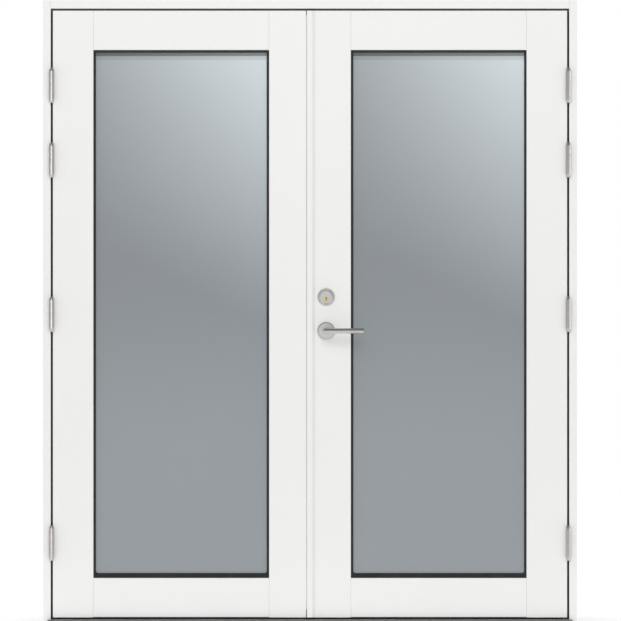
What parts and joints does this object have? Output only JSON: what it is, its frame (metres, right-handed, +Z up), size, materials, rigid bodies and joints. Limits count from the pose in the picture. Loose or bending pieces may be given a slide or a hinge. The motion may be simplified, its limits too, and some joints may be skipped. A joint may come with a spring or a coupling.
{
  "type": "french doors",
  "caption": "White outward opening french doors in a timber frame: tall glazed leaves, lift-type barrel hinges, straight lever, ringed lock cylinder and a low metal threshold.",
  "frame": {"origin": "middle of the frame's underside: half way between the jambs and half way through the frame's depth, on the floor", "axes": "+X to the right seen from outside, +Y from outside to inside through the doorway, +Z up"},
  "size_m": [1.79, 0.184, 2.09],
  "materials": {
    "white_paint": "satin white paint on timber",
    "sill_timber": "oiled hardwood",
    "threshold_metal": "anodised, brushed lengthwise",
    "spacer_metal": "dull",
    "black_rubber": "matte",
    "grey_seal": "matte",
    "satin_steel": "satin brushed",
    "bright_steel": "ground",
    "plug_brass": "polished",
    "tinted_glass": "polished float glass",
    "white_plastic": "fine moulded"
  },
  "bodies": {
    "frame": {"frame_head": "white_paint", "frame_jamb_left": "white_paint", "frame_jamb_right": "white_paint", "threshold_sill": "sill_timber", "threshold_plate": "threshold_metal", "door_stops": "white_paint", "sill_stop": "sill_timber", "stop_gaskets": "black_rubber", "rain_seals": "black_rubber", "left_frame_hinges": "satin_steel", "right_frame_hinges": "satin_steel", "hinge_pins": "bright_steel", "head_bolt_keeper": "satin_steel", "threshold_bolt_keeper": "satin_steel", "fixing_sleeves": "bright_steel", "fixing_caps": "white_plastic"},
    "left_leaf": {"left_hinge_stile": "white_paint", "left_meeting_stile": "white_paint", "left_top_rail": "white_paint", "left_bottom_rail": "white_paint", "left_glass_outer": "tinted_glass", "left_glass_middle": "tinted_glass", "left_glass_inner": "tinted_glass", "left_glass_spacers": "spacer_metal", "left_glazing_gasket": "black_rubber", "left_glazing_beads": "white_paint", "left_setting_blocks": "white_plastic", "left_leaf_hinges": "satin_steel", "left_strike_plates": "satin_steel", "left_flush_bolt_plates": "satin_steel"},
    "right_leaf": {"right_hinge_stile": "white_paint", "right_meeting_stile": "white_paint", "right_top_rail": "white_paint", "right_bottom_rail": "white_paint", "right_glass_outer": "tinted_glass", "right_glass_middle": "tinted_glass", "right_glass_inner": "tinted_glass", "right_glass_spacers": "spacer_metal", "right_glazing_gasket": "black_rubber", "right_glazing_beads": "white_paint", "right_setting_blocks": "white_plastic", "right_leaf_hinges": "satin_steel", "astragal": "white_paint", "meeting_seal": "grey_seal", "lock_case": "bright_steel", "lock_faceplate": "satin_steel", "outer_rose": "satin_steel", "inner_rose": "satin_steel", "cylinder_ring": "satin_steel", "cylinder_housing": "bright_steel", "turn_rose": "satin_steel"},
    "lever": {"outer_lever": "satin_steel", "inner_lever": "satin_steel", "lever_spindle": "bright_steel", "lock_follower": "bright_steel"},
    "lock_bolts": {"lock_bolts": "bright_steel"},
    "lock_plug": {"lock_plug": "plug_brass"},
    "thumb_turn": {"thumb_turn": "satin_steel"},
    "top_flush_bolt": {"top_flush_bolt": "bright_steel"},
    "bottom_flush_bolt": {"bottom_flush_bolt": "bright_steel"}
  },
  "joints": [
    {"name": "left_leaf_swing", "type": "hinge", "parent": "frame", "child": "left_leaf", "pos_m": [-0.8655, -0.067, 1.037], "axis": [0, 0, -1], "range_deg": [0, 170]},
    {"name": "right_leaf_swing", "type": "hinge", "parent": "frame", "child": "right_leaf", "pos_m": [0.8655, -0.067, 1.037], "axis": [0, 0, 1], "range_deg": [0, 170]},
    {"name": "lever_turn", "type": "hinge", "parent": "right_leaf", "child": "lever", "pos_m": [0.0541, -0.0245, 0.981], "axis": [0, 1, 0], "range_deg": [0, 90]},
    {"name": "lock_bolts_throw", "type": "slide", "parent": "right_leaf", "child": "lock_bolts", "axis": [-1, 0, 0], "range_m": [0, 0.022]},
    {"name": "lock_plug_turn", "type": "hinge", "parent": "right_leaf", "child": "lock_plug", "pos_m": [0.0541, -0.0605, 1.0885], "axis": [0, 1, 0], "range_deg": [-90, 90]},
    {"name": "thumb_turn_turn", "type": "hinge", "parent": "right_leaf", "child": "thumb_turn", "pos_m": [0.0541, 0.0115, 1.0885], "axis": [0, 1, 0], "range_deg": [0, 90]},
    {"name": "top_flush_bolt_slide", "type": "slide", "parent": "left_leaf", "child": "top_flush_bolt", "axis": [0, 0, 1], "range_m": [0, 0.016]},
    {"name": "bottom_flush_bolt_slide", "type": "slide", "parent": "left_leaf", "child": "bottom_flush_bolt", "axis": [0, 0, -1], "range_m": [0, 0.016]}
  ],
  "couplings": [
    {"joint": "lock_bolts_throw", "follows": "lever_turn", "m_per_rad": 0.014006}
  ]
}
